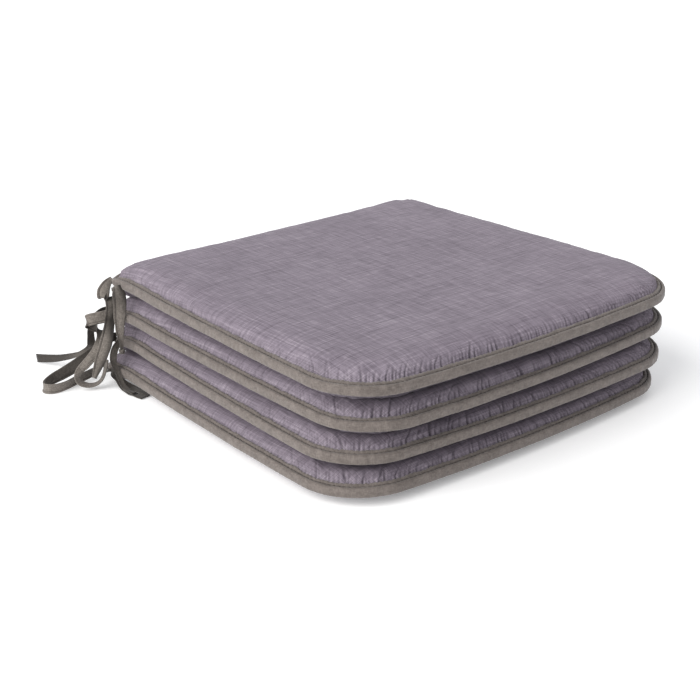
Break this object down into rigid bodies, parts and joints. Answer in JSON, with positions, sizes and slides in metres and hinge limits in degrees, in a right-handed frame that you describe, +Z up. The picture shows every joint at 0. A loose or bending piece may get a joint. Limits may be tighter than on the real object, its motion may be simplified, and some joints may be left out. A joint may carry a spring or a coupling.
{
  "type": "chair seat pad stack",
  "caption": "Stack of square foam seat pads in woven cloth, rounded at the front corners, bound edges, tape ties at the rear corners to fasten to a chair.",
  "frame": {"origin": "on the floor under the middle of the four pads' common outline, ties left out", "axes": "+Z up through the stack; +Y towards the pads' rear edge, where the ties are; -Y towards the rounded front corners"},
  "size_m": [0.5075, 0.5019, 0.1283],
  "materials": {
    "cover_cloth": "mauve-grey slub weave, slight sheen",
    "binding_tape": "taupe woven tape, matt",
    "tie_tape": "taupe woven tape, matt",
    "sewing_thread": "spun polyester thread, matt",
    "foam": "open-cell cushion foam"
  },
  "bodies": {
    "pad_1": {"pad_1_foam_core": "foam", "pad_1_top_cover": "cover_cloth", "pad_1_bottom_cover": "cover_cloth", "pad_1_edge_binding": "binding_tape", "pad_1_seam_thread": "sewing_thread", "pad_1_bar_tacks": "sewing_thread", "pad_1_tie_left_a": "tie_tape", "pad_1_tie_left_b": "tie_tape", "pad_1_tie_right_a": "tie_tape", "pad_1_tie_right_b": "tie_tape"},
    "pad_2": {"pad_2_foam_core": "foam", "pad_2_top_cover": "cover_cloth", "pad_2_bottom_cover": "cover_cloth", "pad_2_edge_binding": "binding_tape", "pad_2_seam_thread": "sewing_thread", "pad_2_bar_tacks": "sewing_thread", "pad_2_tie_left_a": "tie_tape", "pad_2_tie_left_b": "tie_tape", "pad_2_tie_right_a": "tie_tape", "pad_2_tie_right_b": "tie_tape"},
    "pad_3": {"pad_3_foam_core": "foam", "pad_3_top_cover": "cover_cloth", "pad_3_bottom_cover": "cover_cloth", "pad_3_edge_binding": "binding_tape", "pad_3_seam_thread": "sewing_thread", "pad_3_bar_tacks": "sewing_thread", "pad_3_tie_left_a": "tie_tape", "pad_3_tie_left_b": "tie_tape", "pad_3_tie_right_a": "tie_tape", "pad_3_tie_right_b": "tie_tape"},
    "pad_4": {"pad_4_foam_core": "foam", "pad_4_top_cover": "cover_cloth", "pad_4_bottom_cover": "cover_cloth", "pad_4_edge_binding": "binding_tape", "pad_4_seam_thread": "sewing_thread", "pad_4_bar_tacks": "sewing_thread", "pad_4_tie_left_a": "tie_tape", "pad_4_tie_left_b": "tie_tape", "pad_4_tie_right_a": "tie_tape", "pad_4_tie_right_b": "tie_tape", "pad_4_tie_left_a_knot": "tie_tape"}
  },
  "joints": [
    {"name": "lift_pad_2", "type": "slide", "parent": "pad_1", "child": "pad_2", "axis": [0, 0, 1], "range_m": [0, 0.15]},
    {"name": "lift_pad_3", "type": "slide", "parent": "pad_2", "child": "pad_3", "axis": [0, 0, 1], "range_m": [0, 0.15]},
    {"name": "lift_pad_4", "type": "slide", "parent": "pad_3", "child": "pad_4", "axis": [0, 0, 1], "range_m": [0, 0.15]}
  ]
}
